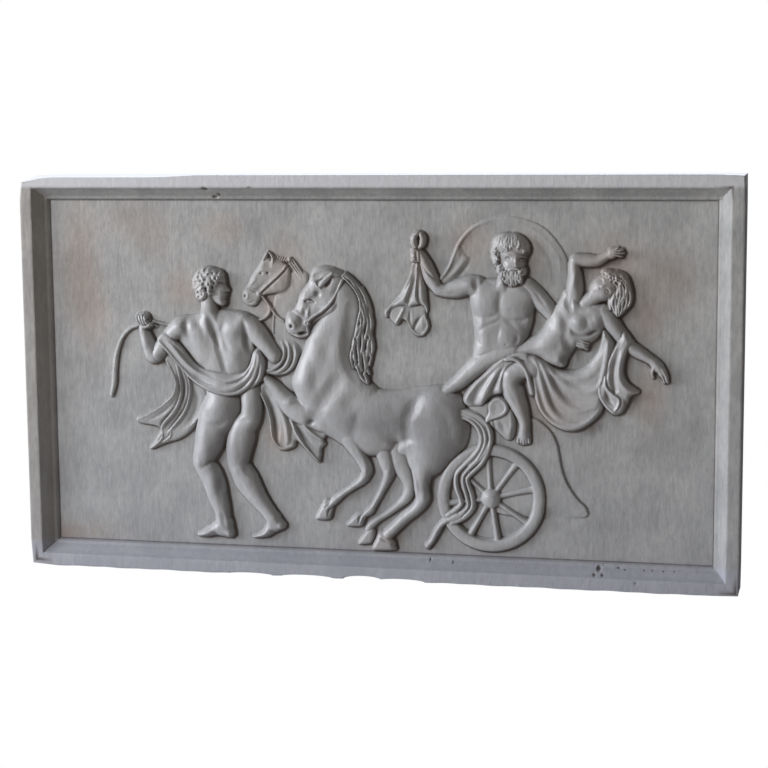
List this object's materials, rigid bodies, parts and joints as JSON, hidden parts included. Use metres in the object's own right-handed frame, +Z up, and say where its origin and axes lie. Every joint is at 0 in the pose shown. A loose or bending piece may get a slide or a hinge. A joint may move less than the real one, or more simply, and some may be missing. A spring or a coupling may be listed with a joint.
{
  "type": "marble relief plaque",
  "caption": "Rectangular marble wall plaque with a moulded frame and a carved relief of horses, a chariot and figures.",
  "frame": {"origin": "centre of the flat back face, which lies against the wall", "axes": "+X along the long side, to the right as seen from the front; +Y out of the back, into the wall; +Z up; the carving faces -Y"},
  "size_m": [1.1, 0.065, 0.612],
  "materials": {
    "marble": "honed grey-white marble, waxed on the high places and stained brown in the hollows"
  },
  "bodies": {
    "root": {"marble_relief_plaque": "marble"}
  },
  "joints": []
}
